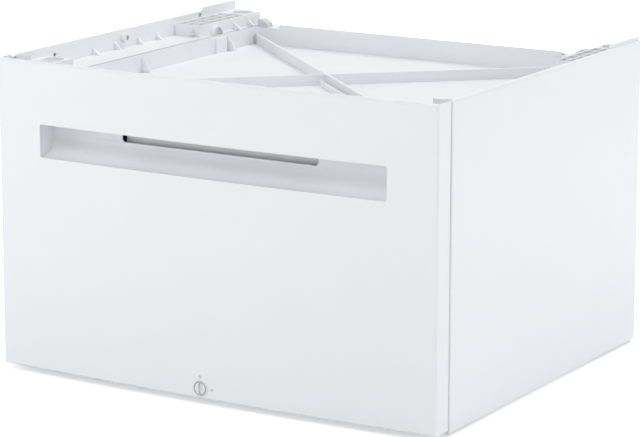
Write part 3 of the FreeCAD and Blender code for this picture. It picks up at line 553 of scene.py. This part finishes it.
def ambient_strength(tree):
    """A soft light that is stronger from some sides of the room than from others."""
    coordinates = tree.nodes.new("ShaderNodeTexCoord")
    direction = tree.nodes.new("ShaderNodeSeparateXYZ")
    tree.links.new(coordinates.outputs["Generated"], direction.inputs["Vector"])
    total = None
    for axis, sign, strength in ambient_sides:
        facing = tree.nodes.new("ShaderNodeMapRange")
        facing.inputs["From Max"].default_value = sign
        tree.links.new(direction.outputs[axis], facing.inputs["Value"])
        lobe = tree.nodes.new("ShaderNodeMath")
        lobe.operation = "MULTIPLY"
        lobe.inputs[1].default_value = strength
        squared = joined(tree, "MULTIPLY", facing.outputs["Result"], facing.outputs["Result"])
        tree.links.new(squared, lobe.inputs[0])
        total = joined(tree, "ADD", total, lobe.outputs["Value"]) if total else lobe.outputs["Value"]
    return total


def floor_lift(tree):
    """A glow of the floor that grows with the distance from the object, for what the camera sees."""
    reach = tree.nodes.new("ShaderNodeVectorMath")
    reach.operation = "LENGTH"
    tree.links.new(stretched_coordinates(tree, even_stretch), reach.inputs[0])
    fade = tree.nodes.new("ShaderNodeMapRange")
    fade.interpolation_type = "SMOOTHSTEP"
    fade.inputs["From Min"].default_value = near_radius
    fade.inputs["From Max"].default_value = far_radius
    fade.inputs["To Min"].default_value = near_lift
    fade.inputs["To Max"].default_value = far_lift
    tree.links.new(reach.outputs["Value"], fade.inputs["Value"])
    lift = tree.nodes.new("ShaderNodeEmission")
    strength = joined(tree, "MULTIPLY", fade.outputs["Result"], seen_directly(tree))
    tree.links.new(strength, lift.inputs["Strength"])
    return lift.outputs["Emission"]


def floor_material():
    """A white floor that takes the object's shadow close to it and fades into the backdrop further out."""
    made = bpy.data.materials.new("studio_floor")
    made.use_nodes = True
    tree = made.node_tree
    tree.nodes.clear()
    output = tree.nodes.new("ShaderNodeOutputMaterial")
    diffuse = tree.nodes.new("ShaderNodeBsdfDiffuse")
    diffuse.inputs["Color"].default_value = floor_colour
    both = tree.nodes.new("ShaderNodeAddShader")
    tree.links.new(diffuse.outputs["BSDF"], both.inputs[0])
    tree.links.new(floor_lift(tree), both.inputs[1])
    tree.links.new(both.outputs["Shader"], output.inputs["Surface"])
    return made


def add_floor():
    mesh = bpy.data.meshes.new("floor")
    corners = [(-floor_half, -floor_half, 0), (floor_half, -floor_half, 0),
               (floor_half, floor_half, 0), (-floor_half, floor_half, 0)]
    mesh.from_pydata(corners, [], [(0, 1, 2, 3)])
    floor = bpy.data.objects.new("floor", mesh)
    floor.data.materials.append(floor_material())
    scene.collection.objects.link(floor)


def add_world():
    """White where the camera sees it, and the soft ambient light for everything else."""
    world = bpy.data.worlds.new("studio")
    scene.world = world
    world.use_nodes = True
    tree = world.node_tree
    tree.nodes.clear()
    output = tree.nodes.new("ShaderNodeOutputWorld")
    soft = tree.nodes.new("ShaderNodeBackground")
    soft.inputs["Color"].default_value = ambient_colour
    tree.links.new(ambient_strength(tree), soft.inputs["Strength"])
    white = tree.nodes.new("ShaderNodeBackground")
    white.inputs["Color"].default_value = backdrop_colour
    choice = tree.nodes.new("ShaderNodeMixShader")
    tree.links.new(seen_directly(tree), choice.inputs["Fac"])
    tree.links.new(soft.outputs["Background"], choice.inputs[1])
    tree.links.new(white.outputs["Background"], choice.inputs[2])
    tree.links.new(choice.outputs["Shader"], output.inputs["Surface"])


def add_lamp(name, place, target, width, power):
    """A square soft box aimed at a point."""
    lamp = bpy.data.lights.new(name, "AREA")
    lamp.size = width
    lamp.energy = power
    holder = bpy.data.objects.new(name, lamp)
    holder.location = place
    aim = Vector(target) - Vector(place)
    holder.rotation_euler = aim.to_track_quat("-Z", "Y").to_euler()
    scene.collection.objects.link(holder)


# Camera
camera_place = (1.78995, -2.95526, 0.95239)
camera_pitch = 12.7096
camera_yaw = 31.2815
camera_lens = 162.957
camera_sensor = 36
view_start = 0.05
view_end = 60


def add_camera():
    """The photograph's view: high on the right, from far off with a long lens."""
    data = bpy.data.cameras.new("camera")
    data.sensor_width = camera_sensor
    data.lens = camera_lens
    data.clip_start = view_start
    data.clip_end = view_end
    camera = bpy.data.objects.new("camera", data)
    camera.location = camera_place
    camera.rotation_euler = (math.radians(quarter_turn - camera_pitch), 0, math.radians(camera_yaw))
    scene.collection.objects.link(camera)
    scene.camera = camera


add_floor()
add_world()
for name, settings in lamps.items():
    add_lamp(name, **settings)
add_camera()
